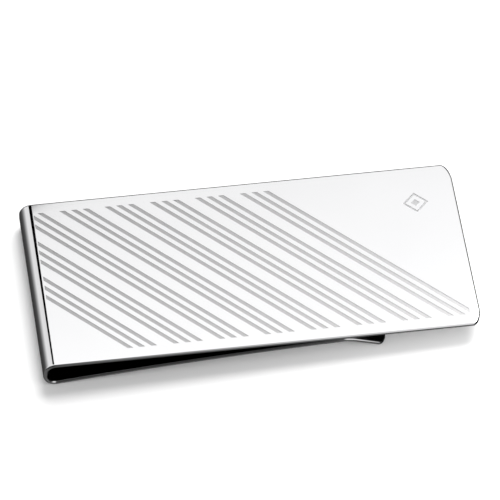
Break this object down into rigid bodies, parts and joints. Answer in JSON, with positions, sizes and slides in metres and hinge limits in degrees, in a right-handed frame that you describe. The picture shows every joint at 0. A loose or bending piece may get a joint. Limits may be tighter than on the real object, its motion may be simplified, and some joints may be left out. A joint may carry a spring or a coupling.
{
  "type": "money clip",
  "caption": "Folded sheet-steel money clip: flat front plate with slanted engraved stripes, round fold, and a spring leaf with a flared tip.",
  "frame": {"origin": "under the middle of the clip, level with the underside of the fold", "axes": "+X from the fold to the free end of the front plate, +Y from the near edge to the far edge, +Z out of the engraved face"},
  "size_m": [0.0524, 0.025, 0.0036],
  "materials": {
    "polished_steel": "mirror polished stainless steel, with satin etched stripes on the front plate"
  },
  "bodies": {
    "leaf": {"spring_leaf": "polished_steel", "flared_tip": "polished_steel"},
    "front": {"front_plate": "polished_steel", "fold_spine": "polished_steel"}
  },
  "joints": [
    {"name": "leaf_flex", "type": "hinge", "parent": "leaf", "child": "front", "pos_m": [-0.02403, 0, 0.00032], "axis": [0, -1, 0], "range_deg": [0, 10], "stiffness_Nm_per_rad": 3, "springref_deg": -0.29}
  ]
}
